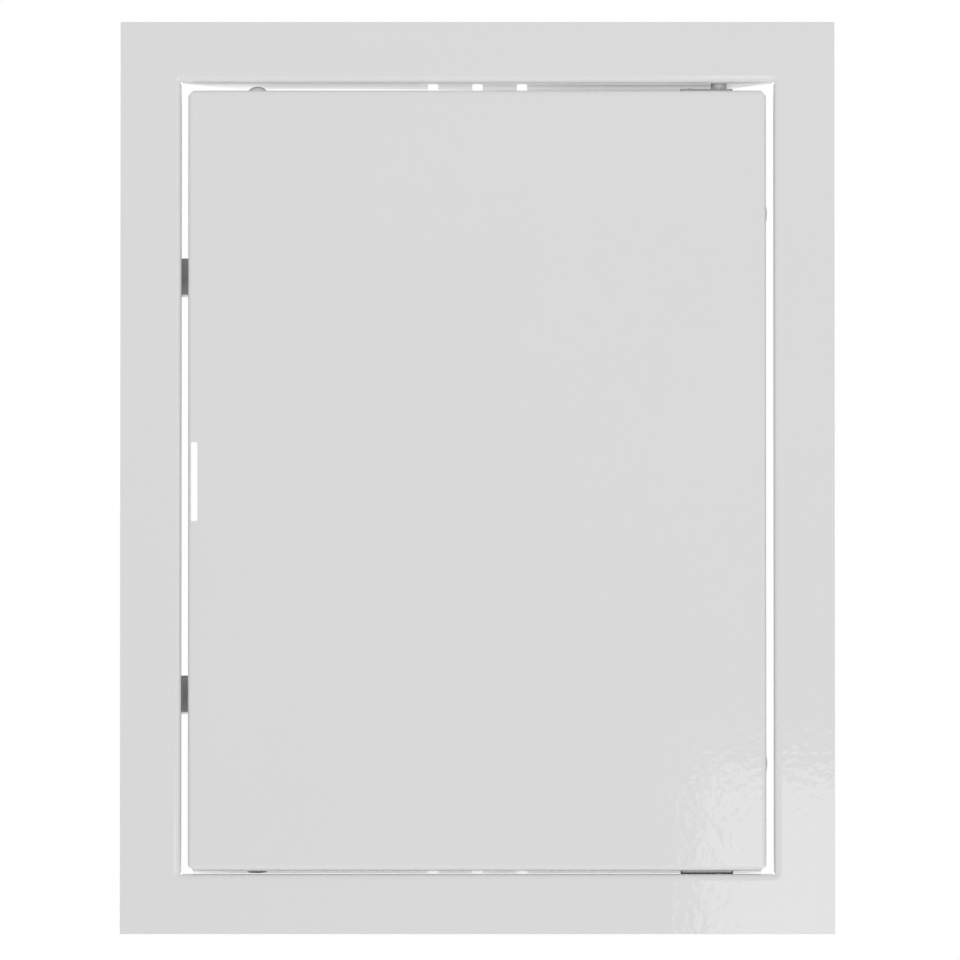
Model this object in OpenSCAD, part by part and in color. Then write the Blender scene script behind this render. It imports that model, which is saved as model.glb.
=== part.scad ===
// Flush access panel: a folded sheet frame with a folded tray door that
// pivots on two vertical pins and is held shut by two magnetic catches.
// X runs along the width, Y into the wall, Z up.
// The origin is the centre of the flange's back face, which lies on the wall.

/* [Frame] */
// Clear width of the opening between the side flaps
opening_w = 299; // [220:1:450]
// Clear height of the opening between the top and bottom flaps
opening_h = 401.4; // [320:0.2:600]
// Width of the flange that covers the edge of the hole in the wall
flange_w = 31; // [20:1:45]
// Strip of flap behind the magnetic catches
flap_margin = 5.5; // [0.5:0.5:10]
// Thickness of the painted sheet
sheet = 1; // [0.8:0.1:1.2]
// Outside radius of the fold round the opening
frame_fold_r = 4; // [3:0.5:5]
// Radius of the softened front edge of the flange
flange_edge_r = 0.7; // [0.3:0.1:0.8]
// Radius of the relief notch at each corner of the opening
relief_r = 0.6; // [0.4:0.1:1.4]

/* [Fixing tongues] */
// Number of cuts in the top flap and in the bottom flap, which leave tongues between them
cut_count = 3; // [2:1:5]
// Spacing of the cuts
cut_pitch = 22.5; // [15:0.5:40]
// Width of a cut
cut_w = 5.2; // [4:0.1:7]
// Plain strip of flap between the fold and the cuts
cut_edge = 3.5; // [2:0.5:6]

/* [Door] */
// Gap beside the door at its free edge
gap_free = 3.3; // [2.6:0.1:5]
// Gap beside the door at its hinge edge
gap_hinge = 3.7; // [3:0.1:6]
// Gap above the door
gap_top = 3.7; // [3.2:0.1:6]
// Gap below the door
gap_bottom = 1.5; // [1.5:0.1:5]
// Depth from the door's face to the rear edge of its returns
door_depth = 17; // [16:0.5:24]
// Outside radius of the door's folds
door_fold_r = 2.8; // [2:0.1:3.4]
// Leg of the cut across each corner of the door, which opens the corner
door_corner = 2.5; // [2.4:0.1:4]
// Height of the finger slot beside the free edge
finger_slot_h = 40; // [25:1:70]
// Width of the finger slot
finger_slot_w = 3.7; // [3:0.1:6]
// Radius at the far corners of the finger slot
finger_slot_r = 0.8; // [0.4:0.1:1.4]
// Height of the middle of the finger slot above the panel's centre
finger_slot_z = -2; // [-40:1:40]

/* [Edge nibs] */
// Height of the upper nib pressed out of the hinge return, above the panel's centre
nib_upper_z = 135; // [60:1:145]
// Depth of the lower nib below the panel's centre
nib_lower_z = 144; // [60:1:145]
// Width of a nib
nib_w = 10; // [6:0.5:12]
// How far a nib stands out of the return
nib_out = 0.6; // [0.3:0.1:0.9]

/* [Pivots] */
// Distance of the pivot axis from the door's hinge edge
pivot_inset = 23.8; // [20:0.2:30]
// Radius of the pivot pin
pin_r = 2.5; // [2:0.1:3]
// Radius of the pin's head, outside the flap
pin_head_r = 4.5; // [4:0.1:6]
// Thickness of the pin's head
pin_head_t = 1.6; // [1:0.1:3]
// Length of the pin inside the door's return
pin_reach = 3; // [2:0.5:6]
// Radius of the spacer between the flap and the hinge plate
spacer_r = 4; // [3.6:0.1:5]
// Running clearance round the pin
run_clear = 0.05; // [0.02:0.01:0.1]
// End play between a spacer and its hinge plate
end_play = 0.2; // [0.1:0.05:0.3]

/* [Hinge plates] */
// Length of the plate that stiffens the door's return at a pivot
plate_l = 26.5; // [24:0.5:36]
// Width of the hinge plate
plate_w = 12; // [10:0.2:12.6]
// Plain strip of return between the door's fold and the hinge plate
plate_edge = 0.2; // [0.1:0.1:0.6]
// Radius at the corners of the hinge plate
plate_corner_r = 1.5; // [0.5:0.1:3]
// Thickness of the hinge plate
plate_t = 0.9; // [0.7:0.1:0.9]
// Length of the hinge plate beyond the pivot, on the hinge side
plate_tail = 7; // [5:0.1:12]
// Distance of the plate's rivets from its end
plate_rivet_inset = 5; // [4:0.5:7]
// Distance of the plate's rivets from its long edges
plate_rivet_edge = 2.8; // [2.5:0.1:3]

/* [Rivets] */
// Radius of a rivet's shank
rivet_r = 1.4; // [1:0.1:1.6]
// Radius of a rivet's head
rivet_head_r = 2.3; // [2:0.1:2.5]
// Height of a rivet's domed head
rivet_head_t = 0.5; // [0.3:0.1:0.5]

/* [Guide buttons] */
// Distance of the guide buttons from the door's free edge
button_inset = 35; // [20:1:80]
// Radius of a guide button
button_r = 5.2; // [4:0.1:6]
// Room left between a guide button and its flap
button_clear = 1; // [0.6:0.1:1.4]
// Radius of a guide button's stem
stem_r = 2; // [1.5:0.1:2.5]
// Length of the collar that holds the button inside the door
collar_l = 1.6; // [1:0.1:3]
// How far the collar stands out from the stem
collar_out = 0.8; // [0.4:0.1:1.2]

/* [Magnetic catches] */
// Distance between the two catches
catch_spacing = 212; // [150:1:280]
// Height of the middle between the catches, above the panel's centre
catch_mid_z = -2; // [-20:1:20]
// Height of a catch with its two lugs
catch_h = 18.6; // [18:0.1:24]
// Width of a catch, inwards from the side flap
catch_w = 10; // [8:0.5:14]
// Depth of a catch
catch_d = 10; // [8:0.5:14]
// Room between a rivet's head and the edges of its lug
lug_edge = 0.1; // [0.05:0.05:0.4]
// Thickness of the catch's base, which also makes its two lugs
lug_t = 3.6; // [2.6:0.1:4.4]
// Radius at the outer corners of the lugs
lug_corner_r = 0.9; // [0.4:0.1:1.4]
// Wall of the catch's case round its pocket
case_wall = 1.2; // [0.9:0.1:1.6]
// Thickness of a pole plate
pole_t = 1.5; // [1:0.1:2]
// How far the pole plates stand out of the case
pole_out = 0.3; // [0.1:0.1:0.6]
// Gap between the pole plates and the shut door
catch_gap = 0.2; // [0.1:0.1:0.5]

/* [Hidden] */
$fn = 72;

// Reach of a cutting tool past the faces that it cuts
over = 1;

half_w = opening_w / 2;
half_h = opening_h / 2;

// Depths, measured from the wall plane
front = -sheet;
door_rear = door_depth - sheet;
pole_front = door_rear + catch_gap;
case_front = pole_front + pole_out;
flap_start = frame_fold_r - sheet;
flap_rear = case_front + catch_d + flap_margin;

// Edges of the door
door_left = -half_w + gap_free;
door_right = half_w - gap_hinge;
door_top = half_h - gap_top;
door_bottom = -half_h + gap_bottom;

pivot_x = door_right - pivot_inset;
pivot_y = front + door_fold_r + plate_edge + plate_w / 2;
plate_end_x = plate_tail - plate_l;
button_x = door_left + button_inset;

// Sizes and places in a catch
lug_h = 2 * (rivet_head_r + lug_edge);
pocket_h = catch_h - 2 * lug_h - 2 * case_wall;
pocket_w = catch_w - lug_t - case_wall;
pocket_d = catch_d - case_wall;
catch_rivet_z = (catch_h - lug_h) / 2;
catch_rivet_y = case_front + catch_d / 2;

PAINT = [0.86, 0.86, 0.86];
STEEL = [0.62, 0.62, 0.61];
DARK_STEEL = [0.33, 0.33, 0.34];
GREY_PLASTIC = [0.5, 0.5, 0.51];
PALE_PLASTIC = [0.78, 0.78, 0.77];
FERRITE = [0.16, 0.16, 0.17];

function span(range) = range[1] - range[0];
function cap_sphere_r(r, h) = (r * r + h * h) / (2 * h);

// Section of a block across `range`, with its two front corners rounded
module rounded_section(range, y0, y1, r) {
    translate([range[0], y0 + r]) square([span(range), y1 - y0 - r]);
    translate([range[0] + r, y0]) square([span(range) - 2 * r, y1 - y0]);
    for (u = [range[0] + r, range[1] - r]) translate([u, y0 + r]) circle(r);
}

// Block whose four front edges are rounded
module soft_block(across, height, y0, y1, r) {
    intersection() {
        translate([0, 0, height[0]]) linear_extrude(span(height))
            rounded_section(across, y0, y1, r);
        translate([across[1], 0, 0]) rotate([0, -90, 0]) linear_extrude(span(across))
            rounded_section(height, y0, y1, r);
    }
}

// Low dome on the plane z = 0
module dome(r, h) {
    sphere_r = cap_sphere_r(r, h);
    intersection() {
        translate([0, 0, h - sphere_r]) sphere(sphere_r);
        cylinder(r = r + over, h = h + over);
    }
}

// Rivet along Z that clamps from z = 0 down to z = -grip
module rivet(grip) {
    dome(rivet_head_r, rivet_head_t);
    translate([0, 0, -grip]) cylinder(r = rivet_r, h = grip);
    translate([0, 0, -grip]) mirror([0, 0, 1]) dome(rivet_head_r, rivet_head_t);
}

// Hole along Z for a shank of radius r, through a sheet on z = z0 to z0 + t
module hole(r, z0, t) {
    translate([0, 0, z0 - over]) cylinder(r = r + run_clear, h = t + 2 * over);
}

// Puts its children at a pivot, with z = 0 on the flap's inner face and Z pointing out of the opening
module at_upper(x) {
    translate([x, pivot_y, half_h]) children();
}
module at_lower(x) {
    translate([x, pivot_y, -half_h]) mirror([0, 0, 1]) children();
}

// Puts its children at a catch
module at_catch(side) {
    translate([-half_w, 0, catch_mid_z + side * catch_spacing / 2]) children();
}

// Axis along X, for what is set through the left flap
module along_x() {
    rotate([0, -90, 0]) children();
}

// One side of the frame: the fold and its flap with mitred ends, along X, with z = 0 on the flap's inner face
module frame_side(length) {
    half_flap = length / 2 - relief_r;
    mitre = flap_rear - flap_start;
    rotate([0, -90, 0]) linear_extrude(length, center = true)
        translate([frame_fold_r, flap_start]) intersection() {
            difference() {
                circle(frame_fold_r);
                circle(frame_fold_r - sheet);
            }
            translate([-frame_fold_r, -frame_fold_r]) square(frame_fold_r);
        }
    linear_extrude(sheet) polygon([
        [-half_flap, flap_start],
        [half_flap, flap_start],
        [half_flap - mitre, flap_rear],
        [mitre - half_flap, flap_rear]
    ]);
}

// Round-ended cuts from the rear edge of a flap on z = 0, which leave tongues to bend into the wall
module tongue_cuts() {
    end_r = cut_w / 2;
    start = flap_start + cut_edge + end_r;
    for (i = [0 : cut_count - 1])
        translate([(i - (cut_count - 1) / 2) * cut_pitch, start, -over]) {
            cylinder(r = end_r, h = sheet + 2 * over);
            translate([-end_r, 0, 0]) cube([cut_w, flap_rear - start + over, sheet + 2 * over]);
        }
}

module flange() {
    outer_w = half_w + flange_w;
    outer_h = half_h + flange_w;
    cut_d = sheet + 2 * over;
    difference() {
        soft_block([-outer_w, outer_w], [-outer_h, outer_h], front, 0, flange_edge_r);
        // the opening reaches the fold lines between its corners
        translate([-half_w, front - over, -half_h - frame_fold_r])
            cube([opening_w, cut_d, opening_h + 2 * frame_fold_r]);
        translate([-half_w - frame_fold_r, front - over, -half_h])
            cube([opening_w + 2 * frame_fold_r, cut_d, opening_h]);
    }
}

// Round notches that free the ends of the folds at the corners of the opening
module relief_notches() {
    for (x = [-half_w, half_w], z = [-half_h, half_h])
        translate([x, front - over, z]) rotate([-90, 0, 0])
            cylinder(r = relief_r, h = frame_fold_r + 2 * over);
}

module frame() {
    color(PAINT) difference() {
        union() {
            flange();
            for (turn = [0, 180]) rotate([0, turn, 0])
                translate([0, 0, half_h]) difference() {
                    frame_side(opening_w);
                    tongue_cuts();
                }
            for (turn = [90, 270]) rotate([0, turn, 0])
                translate([0, 0, half_w]) frame_side(opening_h);
        }
        relief_notches();
        at_upper(pivot_x) hole(pin_r, 0, sheet);
        at_lower(pivot_x) hole(pin_r, 0, sheet);
        for (side = [-1, 1], end = [-1, 1]) at_catch(side)
            translate([0, catch_rivet_y, end * catch_rivet_z]) along_x() hole(rivet_r, 0, sheet);
    }
}

module door_tray() {
    across = [door_left, door_right];
    height = [door_bottom, door_top];
    inner_across = [door_left + sheet, door_right - sheet];
    inner_height = [door_bottom + sheet, door_top - sheet];
    difference() {
        soft_block(across, height, front, door_rear, door_fold_r);
        soft_block(inner_across, inner_height, 0, door_rear + over, door_fold_r - sheet);
        // the cut across each corner leaves the returns apart
        for (x = across, z = height) translate([x, front - over, z]) rotate([0, 45, 0])
            translate([-door_corner / sqrt(2), 0, -door_corner / sqrt(2)])
                cube([door_corner * sqrt(2), door_depth + 2 * over, door_corner * sqrt(2)]);
    }
}

module finger_slot() {
    cut_d = over + door_fold_r;
    x0 = door_left + sheet;
    translate([x0, front - over, finger_slot_z - finger_slot_h / 2]) {
        cube([finger_slot_w - finger_slot_r, cut_d, finger_slot_h]);
        translate([0, 0, finger_slot_r])
            cube([finger_slot_w, cut_d, finger_slot_h - 2 * finger_slot_r]);
        for (z = [finger_slot_r, finger_slot_h - finger_slot_r])
            translate([finger_slot_w - finger_slot_r, 0, z]) rotate([-90, 0, 0])
                cylinder(r = finger_slot_r, h = cut_d);
    }
}

// Nib pressed out of the hinge return: a cap of a sphere, hollow behind
module nib_sphere(r) {
    sphere_r = cap_sphere_r(nib_w / 2, nib_out);
    nib_y = (door_fold_r - sheet + door_rear) / 2;
    for (z = [nib_upper_z, -nib_lower_z])
        translate([door_right + nib_out - sphere_r, nib_y, z]) sphere(sphere_r - r);
}

module door() {
    color(PAINT) difference() {
        union() {
            door_tray();
            intersection() {
                nib_sphere(0);
                translate([door_right - sheet, 0, -half_h]) cube([sheet + over, door_rear, opening_h]);
            }
        }
        intersection() {
            nib_sphere(sheet);
            translate([door_right - sheet - over, 0, -half_h]) cube([sheet + over, door_rear, opening_h]);
        }
        finger_slot();
        at_upper(pivot_x) door_holes(gap_top);
        at_lower(pivot_x) door_holes(gap_bottom);
    }
}

// Holes in a return: the pin's, the hinge plate rivets' and the guide button's
module door_holes(gap) {
    z0 = -gap - sheet;
    hole(pin_r + run_clear, z0, sheet);
    at_plate_rivets() hole(rivet_r, z0, sheet);
    translate([button_x - pivot_x, 0, 0]) hole(stem_r, z0, sheet);
}

module at_plate_rivets() {
    for (side = [-1, 1])
        translate([plate_end_x + plate_rivet_inset, side * (plate_w / 2 - plate_rivet_edge), 0])
            children();
}

// Headed pin through the flap, the spacer, the hinge plate and the door's return
module pivot_pin(gap) {
    bevel = pin_r / 5;
    head_top = sheet + pin_head_t;
    tip = -gap - sheet - pin_reach;
    color(STEEL) rotate_extrude() polygon([
        [0, head_top],
        [pin_head_r - bevel, head_top],
        [pin_head_r, head_top - bevel],
        [pin_head_r, sheet],
        [pin_r, sheet],
        [pin_r, tip + bevel],
        [pin_r - bevel, tip],
        [0, tip]
    ]);
}

module spacer(gap) {
    length = gap - plate_t - end_play;
    color(GREY_PLASTIC) translate([0, 0, -length]) difference() {
        cylinder(r = spacer_r, h = length);
        hole(pin_r, 0, length);
    }
}

// Rectangle from the corner [0, 0], with its corners rounded
module rounded_rectangle(size, r) {
    translate([r, 0]) square([size[0] - 2 * r, size[1]]);
    translate([0, r]) square([size[0], size[1] - 2 * r]);
    for (x = [r, size[0] - r], y = [r, size[1] - r]) translate([x, y]) circle(r);
}

// Plate on the outside of the return, round the pin
module hinge_plate(gap) {
    color(DARK_STEEL) translate([0, 0, -gap]) difference() {
        translate([plate_end_x, -plate_w / 2, 0]) linear_extrude(plate_t)
            rounded_rectangle([plate_l, plate_w], plate_corner_r);
        hole(pin_r, 0, plate_t);
        at_plate_rivets() hole(rivet_r, 0, plate_t);
    }
}

module hinge_rivets(gap) {
    color(STEEL) at_plate_rivets() translate([0, 0, plate_t - gap]) rivet(plate_t + sheet);
}

// Domed button on the return, with a stem through it and a collar inside
module guide_button(gap) {
    color(PALE_PLASTIC) translate([0, 0, -gap]) {
        dome(button_r, gap - button_clear);
        translate([0, 0, -sheet - collar_l]) cylinder(r = stem_r, h = sheet + collar_l);
        translate([0, 0, -sheet - collar_l])
            cylinder(r1 = stem_r, r2 = stem_r + collar_out, h = collar_l);
    }
}

// Case of a catch: a body with a pocket open to the door, between two lugs
module catch_case() {
    body_h = catch_h - 2 * lug_h;
    color(GREY_PLASTIC) difference() {
        union() {
            translate([0, case_front, -body_h / 2]) cube([catch_w, catch_d, body_h]);
            translate([0, case_front, 0]) rotate([-90, 0, 0]) linear_extrude(catch_d) lug_section();
        }
        translate([lug_t, case_front - over, -pocket_h / 2])
            cube([pocket_w, pocket_d + over, pocket_h]);
        for (end = [-1, 1])
            translate([lug_t, catch_rivet_y, end * catch_rivet_z]) along_x() hole(rivet_r, 0, lug_t);
    }
}

// Lugs seen from the door: a strip on the flap with its two inner corners rounded
module lug_section() {
    reach = lug_t - lug_corner_r;
    translate([0, -catch_h / 2]) square([reach, catch_h]);
    translate([0, -catch_h / 2 + lug_corner_r]) square([lug_t, catch_h - 2 * lug_corner_r]);
    for (end = [-1, 1]) translate([reach, end * (catch_h / 2 - lug_corner_r)]) circle(lug_corner_r);
}

// Ferrite block between the pole plates, at the bottom of the pocket
module catch_magnet() {
    magnet_h = pocket_h - 2 * pole_t;
    color(FERRITE) translate([lug_t, case_front, -magnet_h / 2])
        cube([pocket_w, pocket_d, magnet_h]);
}

// Two steel plates above and below the magnet, which meet the edge of the door's return
module pole_plates() {
    for (end = [-1, 1]) color(STEEL)
        translate([lug_t, pole_front, end * (pocket_h - pole_t) / 2 - pole_t / 2])
            cube([pocket_w, pocket_d + pole_out, pole_t]);
}

// Rivets that hold a catch's lugs to the left flap
module catch_rivets() {
    color(STEEL) for (end = [-1, 1])
        translate([-sheet, catch_rivet_y, end * catch_rivet_z]) along_x() rivet(sheet + lug_t);
}

frame();
door();
at_upper(pivot_x) pivot_pin(gap_top);  // upper_pivot_pin
at_lower(pivot_x) pivot_pin(gap_bottom);  // lower_pivot_pin
at_upper(pivot_x) spacer(gap_top);  // upper_spacer
at_lower(pivot_x) spacer(gap_bottom);  // lower_spacer
at_upper(pivot_x) hinge_plate(gap_top);  // upper_hinge_plate
at_lower(pivot_x) hinge_plate(gap_bottom);  // lower_hinge_plate
at_upper(pivot_x) hinge_rivets(gap_top);  // upper_hinge_rivets
at_lower(pivot_x) hinge_rivets(gap_bottom);  // lower_hinge_rivets
at_upper(button_x) guide_button(gap_top);  // upper_guide_button
at_lower(button_x) guide_button(gap_bottom);  // lower_guide_button
at_catch(1) catch_case();  // upper_catch_case
at_catch(-1) catch_case();  // lower_catch_case
at_catch(1) catch_magnet();  // upper_catch_magnet
at_catch(-1) catch_magnet();  // lower_catch_magnet
at_catch(1) pole_plates();  // upper_pole_plates
at_catch(-1) pole_plates();  // lower_pole_plates
at_catch(1) catch_rivets();  // upper_catch_rivets
at_catch(-1) catch_rivets();  // lower_catch_rivets
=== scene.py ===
"""Flush access panel in white powder coat, seen shut, upright and from a little below."""

from contextlib import contextmanager
from math import cos, pi, radians, sin

import bmesh
import bpy
import numpy as np
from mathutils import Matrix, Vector


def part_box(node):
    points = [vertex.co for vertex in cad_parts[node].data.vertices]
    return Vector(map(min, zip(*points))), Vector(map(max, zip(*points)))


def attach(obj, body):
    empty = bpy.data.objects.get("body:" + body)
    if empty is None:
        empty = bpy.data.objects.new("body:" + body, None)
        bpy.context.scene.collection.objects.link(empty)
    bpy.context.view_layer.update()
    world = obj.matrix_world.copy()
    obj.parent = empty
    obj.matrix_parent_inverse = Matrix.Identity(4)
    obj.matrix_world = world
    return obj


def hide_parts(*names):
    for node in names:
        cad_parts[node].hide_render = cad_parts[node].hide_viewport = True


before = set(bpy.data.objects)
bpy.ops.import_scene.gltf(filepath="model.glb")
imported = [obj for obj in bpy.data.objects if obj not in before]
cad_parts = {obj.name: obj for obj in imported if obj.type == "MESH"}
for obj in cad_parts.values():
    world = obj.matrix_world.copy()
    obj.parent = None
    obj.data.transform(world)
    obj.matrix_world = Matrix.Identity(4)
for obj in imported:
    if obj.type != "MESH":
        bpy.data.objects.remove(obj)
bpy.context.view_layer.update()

# Lengths are in metres
MM = 0.001
HAIR = 1e-9

FRAME_BODY = "frame_set"
DOOR_BODY = "door_leaf"

# Sheets
SHEET = 1.0 * MM
SHEET_SOFT = 0.28 * MM
FLANGE_W = 31 * MM
FRAME_FOLD_R = 4.0 * MM
RELIEF_R = 0.6 * MM
DOOR_FOLD_R = 2.8 * MM
DOOR_CORNER = 2.5 * MM
RUN_CLEAR = 0.05 * MM

# Spring of the top flap's rear edge: up at the free side of the tongue cuts and down at the hinge side
SPRING = 0.7 * MM
SPRING_START = 5 * MM
SPRING_MIDDLE = -8 * MM
SPRING_SPAN = 40 * MM

# Cuts, finger slot and nibs of the sheets
CUT_PITCH = 22.5 * MM
CUT_R = 2.6 * MM
CUT_EDGE = 3.5 * MM
FINGER_W = 3.7 * MM
FINGER_H = 40 * MM
FINGER_R = 0.8 * MM
FINGER_Z = -2 * MM
NIB_R = 5.0 * MM
NIB_OUT = 0.6 * MM
NIB_PLACES = (135 * MM, -144 * MM)

# Patches of a strip: half a hole's patch, half a nib's patch, and the end over which columns are drawn out
HOLE_PATCH = 6 * MM
NIB_PATCH = 6 * MM
DRAWN_END = 20 * MM

# Fittings, with a pin's edges softened from head to tip and a ring's from outside to inside
PIN_R = 2.5 * MM
PIN_SOFT = np.array([0.5, 0.1, 0.01, 0.5]) * MM
RING_SOFT = np.array([0.3, 0.3, 0.1, 0.1]) * MM
RIVET_R = 1.4 * MM
RIVET_HEAD_T = 0.5 * MM
BUTTON_R = 5.2 * MM
STEM_R = 2.0 * MM
BARB_OUT = 0.8 * MM
BARB_H = 1.6 * MM
BARB_SOFT = 0.08 * MM
PLATE_CORNER = 1.5 * MM
PLATE_SOFT = 0.15 * MM
CASE_SOFT = 0.25 * MM
MAGNET_SOFT = 0.1 * MM
POLE_SOFT = 0.1 * MM

# Mesh work
WELD_GAP = 0.002 * MM
LEAST_EDGE = 0.001 * MM
FLAT_ANGLE = radians(0.5)
SHARP_ANGLE = radians(35)
SOFT_ANGLE = radians(40)

# Paint: linear grey levels of the coat and of the painted shade on the top flap's inner face, the depth of
# the coat's orange peel, and where that painted shade lies: behind the fold, short of both corners and
# stronger towards the hinge
PAINT_LEVEL = 0.665
FLAP_SHADE_LEVEL = 0.37
PEEL_DEPTH = 0.034 * MM
FLAP_SHADE_DEPTH = (3 * MM, 9 * MM)
FLAP_SHADE_HEIGHT = (0, 100 * MM)
FLAP_SHADE_FREE_END = (-122 * MM, -104 * MM)
FLAP_SHADE_HINGE_END = (124 * MM, 130 * MM)
FLAP_SHADE_GROWTH = (-20 * MM, 80 * MM)
FLAP_SHADE_LEAST = 0.7

# Light of the surround, floor, and camera
FRONT_LIGHT = 0.0
SIDE_LIGHT = 1.42
REAR_LIGHT = 0.5
LOW_LIGHT = 0.45
FLOOR_R = 1.5
FLOOR_FADE = (0.4, 1.4)
CAMERA_DIP = radians(6)
CAMERA_DISTANCE = 20
CAMERA_SENSOR = 36
VIEW_SPAN = 0.48487
AIM_X = 1.26 * MM
AIM_Z = -1.27 * MM


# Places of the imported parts

def corners_of(node):
    """Lowest and highest corner of a part's box, as arrays."""
    low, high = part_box(node)
    return np.array(low), np.array(high)


def middle_of(node):
    """Middle of a part's box."""
    low, high = corners_of(node)
    return (low + high) / 2


frame_low, frame_high = corners_of("frame")
FRONT = frame_low[1]
FLAP_REAR = frame_high[1]
HALF_W = frame_high[0] - FLANGE_W
HALF_H = frame_high[2] - FLANGE_W

door_low, door_high = corners_of("door")
DOOR_LEFT = door_low[0]
DOOR_RIGHT = door_high[0] - NIB_OUT
DOOR_REAR = door_high[1]
DOOR_HALF_W = (DOOR_RIGHT - DOOR_LEFT) / 2
DOOR_HALF_H = (door_high[2] - door_low[2]) / 2
DOOR_MIDDLE = np.array([(DOOR_LEFT + DOOR_RIGHT) / 2, 0, (door_low[2] + door_high[2]) / 2])

PIVOT = middle_of("upper_pivot_pin")
BUTTON = middle_of("upper_guide_button")
HINGE_RIVET_X = middle_of("upper_hinge_rivets")[0]
rivets_low, rivets_high = corners_of("upper_hinge_rivets")
RIVET_HEAD_R = (rivets_high[0] - rivets_low[0]) / 2
HINGE_RIVET_Y = (rivets_low[1] + RIVET_HEAD_R, rivets_high[1] - RIVET_HEAD_R)
CATCH_RIVET_Y = middle_of("upper_catch_rivets")[1]


def catch_rivet_heights(level):
    """Heights of the two rivets of a catch."""
    low, high = corners_of(level + "_catch_rivets")
    return [low[2] + RIVET_HEAD_R, high[2] - RIVET_HEAD_R]


def reach(node, side):
    """Heights of a part's two ends out of the opening, from the flap's inner face."""
    low, high = corners_of(node)
    return sorted((side * low[2] - HALF_H, side * high[2] - HALF_H))


# Shapes

def ruled(first, second, steps):
    """Surface of straight lines between two curves: P(t, v) = (1 - v) first(t) + v second(t)."""
    v = np.linspace(0, 1, steps + 1)[:, None, None]
    return (1 - v) * np.asarray(first) + v * np.asarray(second)


def run(corners, steps):
    """Straight runs from corner to corner, each cut into the same number of steps."""
    corners = np.asarray(corners, float)
    t = np.arange(steps)[:, None] / steps
    pieces = [a + (b - a) * t for a, b in zip(corners[:-1], corners[1:])]
    return np.concatenate(pieces + [corners[-1:]])


def arc(centre, radius, start, end, steps):
    """Arc in a plane: centre + radius (cos a, sin a), with the angles in degrees."""
    angle = np.radians(np.linspace(start, end, steps + 1))
    return np.asarray(centre) + radius * np.stack([np.cos(angle), np.sin(angle)], -1)


def eased(corners, soft, steps=5):
    """Polyline whose inner corners are parabolas (1 - t)^2 a + 2 t (1 - t) corner + t^2 b.

    Each starts at a and ends at b, which lie `soft` from the corner along its two lines.
    """
    corners = np.asarray(corners, float)
    soft = np.broadcast_to(soft, len(corners) - 2)[:, None]
    before, corner, after = corners[:-2], corners[1:-1], corners[2:]

    def towards(other):
        way = other - corner
        length = np.linalg.norm(way, axis=1, keepdims=True)
        return corner + way * np.minimum(soft / length, 0.5)

    t = np.linspace(0, 1, steps + 1)[None, :, None]
    start, end = towards(before)[:, None], towards(after)[:, None]
    curve = (1 - t) ** 2 * start + 2 * t * (1 - t) * corner[:, None] + t ** 2 * end
    return np.concatenate([corners[:1], curve.reshape(-1, 2), corners[-1:]])


def lathe(profile, centre, steps=72, turn=None):
    """Profile of (radius, height) turned about an axis: P(s, a) = centre + (r cos a, r sin a, h).

    `turn` gives the directions in space of the three coordinates, where they aren't X, Y and Z.
    """
    radius, height = np.asarray(profile).T[:, :, None]
    angle = np.linspace(0, 2 * pi, steps + 1)[None]
    grid = np.stack([radius * np.cos(angle), radius * np.sin(angle), height + 0 * angle], -1)
    if turn is not None:
        grid = grid @ np.asarray(turn)
    return grid + np.asarray(centre)


def nearest(points, places):
    """Distance from each point of a grid to the nearest of some places."""
    return np.min([np.linalg.norm(points - np.array(place), axis=-1) for place in places], axis=0)


def plain_cell(left, right, depths, steps):
    """Flat patch between two side lines: w = left(d) + t (right(d) - left(d))."""
    t = np.linspace(0, 1, steps + 1)
    w = left[:, None] + t * (right - left)[:, None]
    return np.stack([w, np.broadcast_to(depths[:, None], w.shape)], -1)


def holed_cells(cell, holes):
    """A flat patch cut across between its holes, each part ruled from its hole's edge to its outline."""
    cuts = np.linspace(0, len(cell) - 1, len(holes) + 1).astype(int)
    made = []
    for first, last, (place, depth, radius) in zip(cuts[:-1], cuts[1:], sorted(holes)):
        part = cell[first:last + 1]
        outline = np.concatenate([part[0], part[1:, -1], part[-1, -2::-1], part[-2::-1, 0]])
        away = outline - (place, depth)
        edge = (place, depth) + radius * away / np.linalg.norm(away, axis=1, keepdims=True)
        made.append(ruled(edge, outline, 3))
    return made


def cut_cell(cell, place, start, radius, rows):
    """Patch before a cut from the strip's rear edge, ruled from the front edge to the cut's round end."""
    end = arc((place, start), radius, 180, 360, cell.shape[1] - 1)
    return ruled(cell[0], end, rows)


def flat_strip(ends, depths, holes=(), cuts=(), breaks=(), steps=8):
    """Flat strip from one end line to the other: patches round the holes, and plain patches between.

    A hole is (place along, depth, radius), and holes at one place lie one behind the other. A cut from
    the rear edge is (place along, depth of its end's centre, radius), and that depth is among the
    strip's depths. The second result is the row of places along the strip's front edge.
    """
    lines = [(at, []) for at in breaks]
    for cut in cuts:
        lines += [(cut[0] - cut[2], []), (cut[0] + cut[2], cut)]
    for at in {hole[0] for hole in holes}:
        lines += [(at - HOLE_PATCH, []), (at + HOLE_PATCH, [hole for hole in holes if hole[0] == at])]
    lines.append((ends[1].max(), []))
    cells, rows = [], []
    left = ends[0]
    for at, found in sorted(lines, key=lambda line: line[0]):
        right = np.clip(at, ends[0], ends[1])
        cell = plain_cell(left, right, depths, steps)
        if isinstance(found, tuple):
            cells.append(cut_cell(cell, *found, np.searchsorted(depths, found[1] - HAIR)))
        else:
            cells += holed_cells(cell, found) if found else [cell]
        rows.append(cell[0, :, 0])
        left = right
    return cells, np.unique(np.concatenate(rows).round(9))


def stretched(columns, limit, end, new_end):
    """Places along a side, drawn out beyond a limit so that the last one reaches a new end.

    A place w becomes sign(w) (min(|w|, limit) + max(|w| - limit, 0) (new end - limit) / (end - limit)).
    """
    size = np.abs(columns)
    beyond = np.maximum(size - limit, 0) * (new_end - limit) / (end - limit)
    return np.sign(columns) * (np.minimum(size, limit) + beyond)


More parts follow.
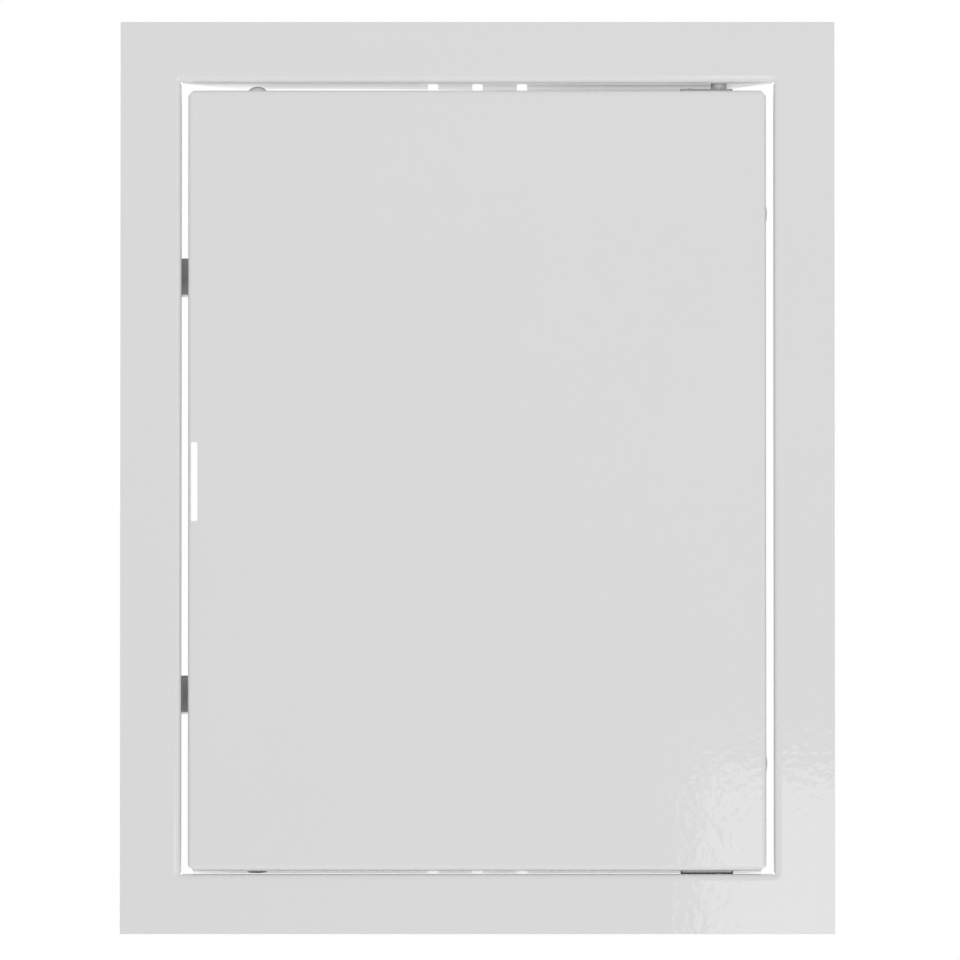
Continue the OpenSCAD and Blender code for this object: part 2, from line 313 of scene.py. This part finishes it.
def side_axes(turn):
    """Directions along and out of one side of a rectangle, after some quarter turns from the top one."""
    angle = turn * pi / 2
    return np.array([cos(angle), 0, -sin(angle)]), np.array([sin(angle), 0, cos(angle)])


def on_side(turn, middle, along, out, depth):
    """Points in space of places along, out of and behind one side."""
    along_axis, out_axis = side_axes(turn)
    along, out, depth = np.broadcast_arrays(along, out, depth)
    point = middle + along[..., None] * along_axis + out[..., None] * out_axis
    return point + depth[..., None] * np.array([0, 1, 0])


# Meshes

def raw_mesh(name, grids, polygons=()):
    """Mesh of grids of points and of single polygons, not yet joined at their seams."""
    points, faces, start = [], [], 0
    for grid in grids:
        rows, cols = grid.shape[:2]
        corner = start + np.arange(rows * cols).reshape(rows, cols)
        quads = np.stack([corner[:-1, :-1], corner[:-1, 1:], corner[1:, 1:], corner[1:, :-1]], -1)
        faces += quads.reshape(-1, 4).tolist()
        points.append(grid.reshape(-1, 3))
        start += rows * cols
    for polygon in polygons:
        faces.append(list(range(start, start + len(polygon))))
        points.append(polygon)
        start += len(polygon)
    mesh = bpy.data.meshes.new(name)
    mesh.from_pydata(np.concatenate(points).tolist(), [], faces)
    return mesh


@contextmanager
def joined(mesh):
    """A mesh opened for edits with its seams joined, and written back in smooth shading."""
    work = bmesh.new()
    work.from_mesh(mesh)
    bmesh.ops.remove_doubles(work, verts=work.verts, dist=WELD_GAP)
    yield work
    work.to_mesh(mesh)
    work.free()
    mesh.shade_smooth()


def weld(mesh, outward=None):
    """Joins the seams of a mesh and turns its faces outwards, which for an open one is a given way."""
    with joined(mesh) as work:
        bmesh.ops.dissolve_degenerate(work, edges=work.edges, dist=LEAST_EDGE)
        bmesh.ops.recalc_face_normals(work, faces=work.faces)
        if outward is not None:
            facing = sum(face.calc_area() * face.normal.dot(outward) for face in work.faces)
            if facing < 0:
                bmesh.ops.reverse_faces(work, faces=work.faces)


def piece(name, mesh, body, finish, node):
    """Object of a mesh that rides on a body, has a finish and stands for a part."""
    slot, material = finish
    made = bpy.data.objects.new(name, mesh)
    bpy.context.scene.collection.objects.link(made)
    mesh.materials.append(material)
    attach(made, body)
    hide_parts(node)
    return made


def thicken(made, thickness):
    """Gives a surface its thickness, behind its face."""
    thick = made.modifiers.new("thickness", "SOLIDIFY")
    thick.thickness = thickness
    thick.offset = -1
    thick.use_even_offset = True
    thick.use_quality_normals = True


def soften(made, width):
    """Rounds the sharp edges of a piece a little and keeps its flat faces flat in the shading."""
    bevel = made.modifiers.new("soft_edges", "BEVEL")
    bevel.width = width
    bevel.segments = 3
    bevel.limit_method = "ANGLE"
    bevel.angle_limit = SOFT_ANGLE
    bevel.use_clamp_overlap = False
    shading = made.modifiers.new("flat_faces", "WEIGHTED_NORMAL")
    shading.keep_sharp = True


def sheet_piece(name, grids, polygons, body, finish, node):
    """Painted sheet, of which the front surface is given."""
    mesh = raw_mesh(name, grids, polygons)
    weld(mesh, outward=(0, -1, 0))
    made = piece(name, mesh, body, finish, node)
    thicken(made, SHEET)
    soften(made, SHEET_SOFT)


def turned_piece(name, grids, body, finish, node):
    """Closed shapes turned on a lathe."""
    mesh = raw_mesh(name, grids)
    weld(mesh)
    mesh.set_sharp_from_angle(angle=SHARP_ANGLE)
    piece(name, mesh, body, finish, node)


def softened_part(node, finish, width):
    """Copy of a flat-sided part of the frame with its edges rounded."""
    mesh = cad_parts[node].data.copy()
    mesh.materials.clear()
    with joined(mesh) as work:
        bmesh.ops.dissolve_limit(work, angle_limit=FLAT_ANGLE, verts=work.verts, edges=work.edges)
    made = piece(node + "_finished", mesh, FRAME_BODY, finish, node)
    soften(made, width)


# Finishes

class Shade:
    """A socket in a tree of shader nodes. Arithmetic on it adds Math nodes."""

    def __init__(self, tree, socket=None):
        self.tree = tree
        self.socket = socket

    def node(self, kind, settings=None, output=0, **sockets):
        """Adds a node, sets it, fills its sockets with values or links, and gives one of its outputs.

        A socket goes by its name with _ for a space, or by i and its number.
        """
        made = self.tree.nodes.new(kind)
        for key, value in (settings or {}).items():
            setattr(made, key, value)
        for key, value in sockets.items():
            numbered = key[1:].isdigit()
            plug = made.inputs[int(key[1:]) if numbered else key.replace("_", " ")]
            if isinstance(value, Shade):
                self.tree.links.new(value.socket, plug)
            else:
                plug.default_value = value
        return Shade(self.tree, made.outputs[output])

    def math(self, operation, first, second):
        return self.node("ShaderNodeMath", {"operation": operation}, i0=first, i1=second)

    def __add__(self, other):
        return self.math("ADD", self, other)

    def __radd__(self, other):
        return self.math("ADD", other, self)

    def __sub__(self, other):
        return self.math("SUBTRACT", self, other)

    def __rsub__(self, other):
        return self.math("SUBTRACT", other, self)

    def __mul__(self, other):
        return self.math("MULTIPLY", self, other)

    def __rmul__(self, other):
        return self.math("MULTIPLY", other, self)

    def parts(self):
        """X, Y and Z of these coordinates."""
        return [self.node("ShaderNodeSeparateXYZ", output=axis, Vector=self) for axis in range(3)]

    def mix(self, first, second):
        """Colour between two colours, by this value."""
        return self.node("ShaderNodeMix", {"data_type": "RGBA"}, output=2, i0=self, i6=first, i7=second)

    def rise(self, low, high):
        """Smooth step from 0 at a low value to 1 at a high one."""
        return self.node("ShaderNodeMapRange", {"interpolation_type": "SMOOTHSTEP"}, Value=self,
                         From_Min=low, From_Max=high)

    def noise(self, scale, detail=2.0):
        """Noise at these coordinates, with `scale` bumps to the metre."""
        return self.node("ShaderNodeTexNoise", Vector=self, Scale=scale, Detail=detail)

    def bump(self, strength, distance):
        """Normal of a surface with this value as its relief."""
        return self.node("ShaderNodeBump", Strength=strength, Distance=distance, Height=self)


def grey(level, tint=(1, 1, 1)):
    """Colour of a linear grey level."""
    return (*(level * part for part in tint), 1)


def new_finish(name, **constants):
    """Material with one Principled shader: its node, and a Shade of the object's own coordinates."""
    material = bpy.data.materials.new(name)
    material.use_nodes = True
    tree = material.node_tree
    shader = next(node for node in tree.nodes if node.type == "BSDF_PRINCIPLED")
    for key, value in constants.items():
        shader.inputs[key.replace("_", " ")].default_value = value
    place = Shade(tree).node("ShaderNodeTexCoord", output="Object")
    return material, shader, place


def feed(shader, **values):
    """Links varying values into a shader's sockets."""
    for key, value in values.items():
        value.tree.links.new(value.socket, shader.inputs[key.replace("_", " ")])


def powder_coat(name, shade_mask=None):
    """Gloss white powder coat with fine orange peel.

    Where a mask is given as a function of place, painted shade greys the coat there, and the film is
    rougher and less clear there too.
    """
    material, shader, place = new_finish(name, IOR=1.5, Coat_Roughness=0.04)
    peel = place.noise(260, detail=1.0)
    slow = place.noise(60, detail=1.0)
    cloud = place.noise(14, detail=3.0)
    speck = place.noise(2600, detail=0.0)
    relief = (peel + 1.2 * slow).bump(1.0, PEEL_DEPTH)
    colour = (0.6 * cloud + 0.4 * speck).mix(grey(PAINT_LEVEL * 0.99), grey(PAINT_LEVEL * 1.01))
    roughness = 0.02 + 0.02 * cloud
    clear = 0.25 + 0.1 * slow
    # Painted shade: under the mask the coat's grey falls towards a darker level, and the film turns
    # rougher and less clear
    if shade_mask:
        mask = shade_mask(place)
        colour = mask.mix(colour, cloud.mix(grey(FLAP_SHADE_LEVEL * 0.95), grey(FLAP_SHADE_LEVEL * 1.05)))
        roughness = roughness + 0.25 * mask
        clear = clear * (1 - mask)
    feed(shader, Base_Color=colour, Roughness=roughness, Coat_Weight=clear, Normal=relief)
    return material


def top_flap_shade(place):
    """Mask of painted shade on the top flap's inner face behind its fold, short of both corners and
    stronger towards the hinge.
    """
    across, depth, height = place.parts()
    ends = across.rise(*FLAP_SHADE_FREE_END) * (1 - across.rise(*FLAP_SHADE_HINGE_END))
    strength = FLAP_SHADE_LEAST + (1 - FLAP_SHADE_LEAST) * across.rise(*FLAP_SHADE_GROWTH)
    return depth.rise(*FLAP_SHADE_DEPTH) * height.rise(*FLAP_SHADE_HEIGHT) * ends * strength


def zinc_plate():
    """Dull zinc plating on steel: fine grains, cloudy patches of passivation."""
    material, shader, place = new_finish("zinc_plate", Metallic=1.0)
    grain = place.noise(3200, detail=2.0)
    patch = place.noise(480, detail=2.0)
    feed(
        shader,
        Base_Color=patch.mix(grey(0.46, (1, 1, 0.98)), grey(0.62, (0.98, 1, 1.02))),
        Roughness=0.28 + 0.16 * grain,
        Normal=grain.bump(0.6, 0.01 * MM),
    )
    return material


def rolled_steel():
    """Dark rolled steel strip: mill scale with fine lines along the strip."""
    material, shader, place = new_finish("rolled_steel", Metallic=1.0)
    lines = place.node("ShaderNodeMapping", Vector=place, Scale=(1, 14, 1)).noise(300)
    patch = place.noise(260, detail=3.0)
    feed(
        shader,
        Base_Color=(0.5 * lines + 0.5 * patch).mix(grey(0.24), grey(0.40)),
        Roughness=0.38 + 0.2 * patch,
        Normal=lines.bump(0.5, 0.01 * MM),
    )
    return material


def moulded_plastic(name, dark, light):
    """Injection-moulded plastic: spark-eroded texture and a faint flow of tone."""
    material, shader, place = new_finish(name, IOR=1.46)
    texture = place.noise(4200, detail=1.0)
    flow = place.noise(220, detail=1.0)
    feed(
        shader,
        Base_Color=flow.mix(grey(dark), grey(light)),
        Roughness=0.42 + 0.14 * texture,
        Normal=texture.bump(0.7, 0.015 * MM),
    )
    return material


def sintered_ferrite():
    """Ground ferrite: dark, grainy, with pits."""
    material, shader, place = new_finish("sintered_ferrite")
    grain = place.noise(5200, detail=2.0)
    pits = place.node("ShaderNodeTexVoronoi", Vector=place, Scale=1500.0)
    feed(
        shader,
        Base_Color=grain.mix(grey(0.022), grey(0.06)),
        Roughness=0.55 + 0.2 * grain,
        Normal=(grain + 0.6 * pits).bump(0.8, 0.02 * MM),
    )
    return material


# The frame

def sprung(along, depth):
    """Rise of the top flap: -S tanh((w - m) / s) t^1.5, with t from 0 at its start to 1 at the rear."""
    t = np.clip((depth - SPRING_START) / (FLAP_REAR - SPRING_START), 0, 1)
    return -SPRING * np.tanh((along - SPRING_MIDDLE) / SPRING_SPAN) * t ** 1.5


def frame_sheet():
    """Flange, folds and flaps of the frame as one surface.

    A place on a side has w along it and u out of the opening. The fold is a quarter round from the
    flange, u = R - R sin f and y = R - t - R cos f, and its ends follow the round notches at the
    opening's corners. Between two folds, that quarter round is turned about the corner of the opening.
    """
    pin = (PIVOT[0], PIVOT[1], PIN_R + RUN_CLEAR)
    rivet_heights = catch_rivet_heights("upper") + catch_rivet_heights("lower")
    rivets = [(z, CATCH_RIVET_Y, RIVET_R + RUN_CLEAR) for z in rivet_heights]
    holes = [[pin], [], [(-pin[0], *pin[1:])], rivets]
    cut_depth = FRONT + FRAME_FOLD_R + CUT_EDGE + CUT_R
    cuts = [(i * CUT_PITCH, cut_depth, CUT_R) for i in (-1, 0, 1)]

    relief_angle = np.arcsin(1 - RELIEF_R / FRAME_FOLD_R)
    angle = np.unique(np.append(np.radians(np.linspace(0, 90, 17)), relief_angle))
    fold_out = FRAME_FOLD_R * (1 - np.sin(angle))
    fold_depth = FRONT + FRAME_FOLD_R * (1 - np.cos(angle))
    turned = fold_out > RELIEF_R - HAIR
    flap_depth = np.concatenate([np.linspace(fold_depth[-1], cut_depth, 7),
                                 np.linspace(cut_depth, FLAP_REAR, 17)[1:]])
    flange_out = np.linspace(FRAME_FOLD_R, FLANGE_W, 8)
    corner = np.linspace(0, pi / 2, 13)
    sides = np.linspace(0, 1, 7)

    grids = []
    for turn in range(4):
        half, inset = (HALF_H, HALF_W) if turn % 2 else (HALF_W, HALF_H)
        flap_half = half - RELIEF_R
        end = flap_half - (flap_depth - flap_depth[0])
        side_cuts = () if turn % 2 else cuts
        cells, row = flat_strip((-end, end), flap_depth, holes[turn], side_cuts, steps=16)
        for cell in cells:
            along, depth = cell[..., 0], cell[..., 1]
            rise = 0 if turn else sprung(along, depth)
            grids.append(on_side(turn, 0, along, inset + rise, depth))

        still = flap_half - DRAWN_END
        fold_end = half - np.sqrt(np.maximum(RELIEF_R ** 2 - fold_out ** 2, 0))
        grids.append(on_side(turn, 0, stretched(row, still, flap_half, fold_end[:, None]),
                             inset + fold_out[:, None], fold_depth[:, None]))

        beyond = half + flange_out[:, None] * sides[1:]
        inner = np.tile(stretched(row, still, flap_half, half), (len(flange_out), 1))
        along = np.concatenate([-beyond[:, ::-1], inner, beyond], 1)
        grids.append(on_side(turn, 0, along, inset + flange_out[:, None], FRONT))

        grids.append(on_side(turn, 0, half + fold_out[turned, None] * np.sin(corner),
                             inset + fold_out[turned, None] * np.cos(corner), fold_depth[turned, None]))
        quarter = FRAME_FOLD_R * np.stack([np.sin(corner), np.cos(corner)], -1)
        square = FRAME_FOLD_R * run([(0, 1), (1, 1), (1, 0)], len(sides) - 1)
        patch = ruled(quarter, square, 3)
        grids.append(on_side(turn, 0, half + patch[..., 0], inset + patch[..., 1], FRONT))
    return grids


# The door

def door_sheet():
    """Face, folds and returns of the door's tray as one surface.

    The fold is a quarter round, with its inset from the door's edge b = R - R sin f. Two folds meet on
    the mitre down to half the corner's cut, and below that the cut at 45 degrees leaves them apart.
    A nib stands proud of the hinge side's return as the cap of a ball, by sqrt(B^2 - r^2) - B + n.
    """
    def across(x):
        return x - DOOR_MIDDLE[0]

    button = (across(BUTTON[0]), BUTTON[1], STEM_R + RUN_CLEAR)
    pin = (across(PIVOT[0]), PIVOT[1], PIN_R + 2 * RUN_CLEAR)
    rivets = [(across(HINGE_RIVET_X), y, RIVET_R + RUN_CLEAR) for y in HINGE_RIVET_Y]
    top = [button, pin, *rivets]
    holes = [top, [], [(-w, *rest) for w, *rest in top], []]
    finger = FINGER_Z - DOOR_MIDDLE[2] + np.array([-0.5, 0.5]) * FINGER_H
    nibs = [DOOR_MIDDLE[2] - z for z in NIB_PLACES]
    breaks = [[], [w + side * NIB_PATCH for w in nibs for side in (-1, 1)], [], finger.tolist()]

    key_insets = np.array([DOOR_CORNER / 2, SHEET])
    key_angles = np.arcsin(1 - key_insets / DOOR_FOLD_R)
    angle = np.unique(np.append(np.radians(np.linspace(0, 90, 13)), key_angles))
    inset = DOOR_FOLD_R * (1 - np.sin(angle))
    depth = FRONT + DOOR_FOLD_R * (1 - np.cos(angle))
    return_depth = np.linspace(depth[-1], DOOR_REAR, 25)
    nib_depth = (return_depth[0] + DOOR_REAR) / 2
    nib_ball = (NIB_R ** 2 + NIB_OUT ** 2) / (2 * NIB_OUT)

    grids, outline = [], []
    for turn in range(4):
        half, far = (DOOR_HALF_H, DOOR_HALF_W) if turn % 2 else (DOOR_HALF_W, DOOR_HALF_H)
        end = np.full(len(return_depth), half - DOOR_CORNER)
        steps = 24 if turn == 1 else 8
        cells, row = flat_strip((-end, end), return_depth, holes[turn], (), breaks[turn], steps=steps)
        for cell in cells:
            proud = np.zeros(cell.shape[:2])
            if turn == 1:
                off = nearest(cell, [(w, nib_depth) for w in nibs])
                proud = np.sqrt(np.maximum(nib_ball ** 2 - off ** 2, 0)) - nib_ball + NIB_OUT
            out = far + np.maximum(proud, 0)
            grids.append(on_side(turn, DOOR_MIDDLE, cell[..., 0], out, cell[..., 1]))

        fold_end = half - np.maximum(inset, DOOR_CORNER - inset)
        along = stretched(row, half - DRAWN_END, half - DOOR_CORNER, fold_end[:, None])
        fold = on_side(turn, DOOR_MIDDLE, along, far - inset[:, None], depth[:, None])
        if turn < 3:
            grids.append(fold)
            outline.append(fold[0, :-1])
            continue
        low, high = np.searchsorted(row, finger.round(9))
        grids += [fold[:, :low + 1], fold[inset < SHEET + HAIR, low:high + 1], fold[:, high:]]
        back = far - SHEET - FINGER_W
        notch = np.concatenate([
            arc((finger[0] + FINGER_R, back + FINGER_R), FINGER_R, 180, 270, 6),
            arc((finger[1] - FINGER_R, back + FINGER_R), FINGER_R, 270, 360, 6),
        ])
        notch_edge = on_side(turn, DOOR_MIDDLE, notch[:, 0], notch[:, 1], FRONT)
        outline += [fold[0, :low + 1], notch_edge, fold[0, high:-1]]
    return grids, [np.concatenate(outline)]


# Fittings

def cap(radius, height, steps=8):
    """Profile of a low dome from its top to its rim: a circle through both, as (radius, height)."""
    ball = (radius ** 2 + height ** 2) / (2 * height)
    edge = np.degrees(np.arcsin(radius / ball))
    return arc((0, height - ball), ball, 90, 90 - edge, steps)


def pin_profile(low, high):
    """Headed pin: head on top, a rounded tip below, with h = 0 on the flap's inner face."""
    head_r = (corners_of("upper_pivot_pin")[1] - PIVOT)[0]
    outline = [(0, high), (head_r, high), (head_r, SHEET), (PIN_R, SHEET), (PIN_R, low), (0, low)]
    return eased(outline, PIN_SOFT)


def ring_profile(inner, outer, low, high):
    """Closed section of a ring with softened edges."""
    middle = (inner + outer) / 2
    outline = [(middle, low), (outer, low), (outer, high), (inner, high), (inner, low), (middle, low)]
    return eased(outline, RING_SOFT)


def rivet_profile(grip):
    """Rivet with a dome on both ends of its shank, from h = 0 down to the grip."""
    head = cap(RIVET_HEAD_R, RIVET_HEAD_T)
    shank = [(RIVET_R, 0), (RIVET_R, -grip)]
    tail = head[::-1] * (1, -1) - (0, grip)
    return np.concatenate([head, shank, tail])


def button_profile(height):
    """Domed button with h = 0 on the return: a dome, a stem through the sheet and a barb behind it."""
    end = SHEET + BARB_H
    barb_r = STEM_R + BARB_OUT
    under = [(STEM_R, 0), (STEM_R, -SHEET), (barb_r, -SHEET), (STEM_R, -end), (0, -end)]
    return np.concatenate([cap(BUTTON_R, height, 14), eased(under, BARB_SOFT)])


def upright(profile, x, y, base, side):
    """Turned shape on a vertical axis, whose height runs out of the opening from a base height."""
    radius, height = np.asarray(profile).T
    return lathe(np.stack([radius, side * (base + height)], -1), (x, y, 0))


def crosswise(profile, x, y, z):
    """Turned shape on an axis across the panel, whose height runs to the left."""
    return lathe(profile, (x, y, z), turn=((0, 1, 0), (0, 0, 1), (-1, 0, 0)))


def plate_face(node, side):
    """Outer face of a hinge plate: a strip whose end lines are drawn in to round its corners.

    At a distance d from the front or rear edge they are drawn in by r - sqrt(r^2 - (r - d)^2).
    """
    low, high = corners_of(node)
    rounding = PLATE_CORNER * (1 - np.cos(np.arange(7) * pi / 12))
    even = np.linspace(low[1], high[1], 17)
    depth = np.unique(np.concatenate([even, low[1] + rounding, high[1] - rounding]).round(9))
    near = np.minimum(depth - low[1], high[1] - depth)
    within = np.maximum(PLATE_CORNER - near, 0)
    drawn = PLATE_CORNER - np.sqrt(np.maximum(PLATE_CORNER ** 2 - within ** 2, 0))
    holes = [(PIVOT[0], PIVOT[1], PIN_R + RUN_CLEAR)]
    holes += [(HINGE_RIVET_X, y, RIVET_R + RUN_CLEAR) for y in HINGE_RIVET_Y]
    cells, _ = flat_strip((low[0] + drawn, high[0] - drawn), depth, holes)
    outer = high[2] if side > 0 else low[2]
    return [np.stack([cell[..., 0], cell[..., 1], np.full(cell.shape[:2], outer)], -1) for cell in cells]


def hinge(level, side):
    """Pin and spacer on the frame, with the plate and its rivets on the door's return."""
    pin = upright(pin_profile(*reach(level + "_pivot_pin", side)), *PIVOT[:2], HALF_H, side)
    turned_piece(level + "_pin", [pin], FRAME_BODY, ZINC, level + "_pivot_pin")

    spacer_r = (corners_of(level + "_spacer")[1] - PIVOT)[0]
    section = ring_profile(PIN_R + RUN_CLEAR, spacer_r, *reach(level + "_spacer", side))
    ring = upright(section, *PIVOT[:2], HALF_H, side)
    turned_piece(level + "_spacer_ring", [ring], FRAME_BODY, GREY_PLASTIC, level + "_spacer")

    plate_low, plate_high = reach(level + "_hinge_plate", side)
    mesh = raw_mesh(level + "_plate", plate_face(level + "_hinge_plate", side))
    weld(mesh, outward=(0, 0, side))
    plate = piece(level + "_plate", mesh, DOOR_BODY, STRIP, level + "_hinge_plate")
    thicken(plate, plate_high - plate_low)
    soften(plate, PLATE_SOFT)

    rivet = rivet_profile(plate_high - plate_low + SHEET)
    rivets = [upright(rivet, HINGE_RIVET_X, y, HALF_H + plate_high, side) for y in HINGE_RIVET_Y]
    turned_piece(level + "_plate_rivets", rivets, DOOR_BODY, ZINC, level + "_hinge_rivets")


def guide_button(level, side):
    """Button on the door's return, at whose outer face the hinge plate starts too."""
    base = reach(level + "_hinge_plate", side)[0]
    top = reach(level + "_guide_button", side)[1]
    button = upright(button_profile(top - base), *BUTTON[:2], HALF_H + base, side)
    turned_piece(level + "_button", [button], DOOR_BODY, PALE_PLASTIC, level + "_guide_button")


def catch(level):
    """Rivets, case, magnet and pole plates of a catch on the free side's flap."""
    head = corners_of(level + "_catch_rivets")[1][0] - RIVET_HEAD_T
    rivet = rivet_profile(head + HALF_W + SHEET)
    heights = catch_rivet_heights(level)
    rivets = [crosswise(rivet, -HALF_W - SHEET, CATCH_RIVET_Y, z) for z in heights]
    turned_piece(level + "_case_rivets", rivets, FRAME_BODY, ZINC, level + "_catch_rivets")
    softened_part(level + "_catch_case", GREY_PLASTIC, CASE_SOFT)
    softened_part(level + "_catch_magnet", FERRITE, MAGNET_SOFT)
    softened_part(level + "_pole_plates", ZINC, POLE_SOFT)


# Each finish is a material slot's name and a material
# The frame's coat carries painted shade on the top flap's inner face
FRAME_COAT = ("paint", powder_coat("frame_coat", top_flap_shade))
DOOR_COAT = ("paint", powder_coat("door_coat"))
ZINC = ("zinc_steel", zinc_plate())
STRIP = ("dark_steel", rolled_steel())
GREY_PLASTIC = ("grey_plastic", moulded_plastic("grey_plastic", 0.68, 0.76))
PALE_PLASTIC = ("pale_plastic", moulded_plastic("pale_plastic", 0.80, 0.86))
FERRITE = ("ferrite", sintered_ferrite())

sheet_piece("frame_sheet", frame_sheet(), (), FRAME_BODY, FRAME_COAT, "frame")
sheet_piece("door_tray", *door_sheet(), DOOR_BODY, DOOR_COAT, "door")
for level, side in (("upper", 1), ("lower", -1)):
    hinge(level, side)
    guide_button(level, side)
    catch(level)


# Studio

def look(made, target):
    """Turns a lamp or the camera towards a point."""
    way = Vector(target) - made.location
    made.rotation_euler = way.to_track_quat("-Z", "Y").to_euler()


def soft_lamp(name, place, target, size, power, mirrored=False):
    """Square soft lamp, which glossy faces mirror or leave out."""
    data = bpy.data.lights.new(name, "AREA")
    data.shape = "SQUARE"
    data.size = size
    data.energy = power
    made = bpy.data.objects.new(name, data)
    made.location = place
    made.visible_camera = False
    made.visible_glossy = mirrored
    bpy.context.scene.collection.objects.link(made)
    look(made, target)


def surround():
    """Light from all round, and plain white where the camera, a gloss or a clear thing sees it.

    With y into the wall and z up, the light is SIDE - (SIDE - FRONT) y^2 ahead of the panel and
    SIDE - (SIDE - REAR) y^2 behind it, with LOW z^2 added below.
    """
    world = bpy.data.worlds.new("surround")
    bpy.context.scene.world = world
    world.use_nodes = True
    nodes = Shade(world.node_tree)
    white = (nodes.node("ShaderNodeLightPath", output="Is Camera Ray")
             + nodes.node("ShaderNodeLightPath", output="Is Glossy Ray")
             + nodes.node("ShaderNodeLightPath", output="Is Transmission Ray"))
    _, depth, height = nodes.node("ShaderNodeTexCoord").parts()
    ahead = depth.math("MINIMUM", depth, 0.0)
    behind = depth.math("MAXIMUM", depth, 0.0)
    below = height.math("MINIMUM", height, 0.0)
    ambient = SIDE_LIGHT - (SIDE_LIGHT - FRONT_LIGHT) * ahead * ahead
    ambient = ambient - (SIDE_LIGHT - REAR_LIGHT) * behind * behind + LOW_LIGHT * below * below
    sky = next(node for node in world.node_tree.nodes if node.type == "BACKGROUND")
    sky.inputs["Color"].default_value = grey(1)
    feed(sky, Strength=white + (1 - white) * ambient)


def floor():
    """Pale round floor under the panel, ruled from its middle, that fades into the white surround."""
    rim = arc((0, 0), FLOOR_R, 0, 360, 96)
    rim = np.concatenate([rim, np.full((len(rim), 1), frame_low[2])], 1)
    middle = np.broadcast_to((0, 0, frame_low[2]), rim.shape)
    mesh = raw_mesh("floor", [ruled(middle, rim, 12)])
    weld(mesh, outward=(0, 0, 1))
    made = bpy.data.objects.new("floor", mesh)
    bpy.context.scene.collection.objects.link(made)
    material, shader, place = new_finish("pale_floor", Roughness=0.6, Base_Color=grey(0.86))
    away = place.node("ShaderNodeVectorMath", {"operation": "LENGTH"}, output="Value", i0=place)
    seen = place.node("ShaderNodeLightPath", output="Is Camera Ray")
    from_below = place.node("ShaderNodeNewGeometry", output="Backfacing")
    feed(shader, Alpha=(1 - away.rise(*FLOOR_FADE)) * seen * (1 - from_below))
    mesh.materials.append(material)


def set_camera():
    """Camera far off and a little below the panel, with a view as wide as the span at that distance."""
    data = bpy.data.cameras.new("camera")
    data.sensor_width = CAMERA_SENSOR
    data.lens = CAMERA_SENSOR * CAMERA_DISTANCE / VIEW_SPAN
    data.clip_end = 5 * CAMERA_DISTANCE
    made = bpy.data.objects.new("camera", data)
    bpy.context.scene.collection.objects.link(made)
    aim = Vector((AIM_X, FRONT, AIM_Z))
    made.location = aim - CAMERA_DISTANCE * Vector((0, cos(CAMERA_DIP), sin(CAMERA_DIP)))
    look(made, aim)
    bpy.context.scene.camera = made


surround()
floor()
bpy.context.scene.view_settings.view_transform = "Standard"

# The paint mirrors the softbox in its lower right corner
middle = (0.0, 0.0, 0.0)
soft_lamp("softbox", (0.775, -2.0, -0.604), (0.775, 0.0, -0.604), size=1.3, power=7.6, mirrored=True)
soft_lamp("key", (-0.12, -1.1, 0.75), middle, size=1.0, power=2.5)
soft_lamp("low_fill", (0.2, -2.2, -2.6), middle, size=1.4, power=8)
soft_lamp("rear_fill", (-0.8, 1.8, 1.6), middle, size=1.4, power=3)
set_camera()
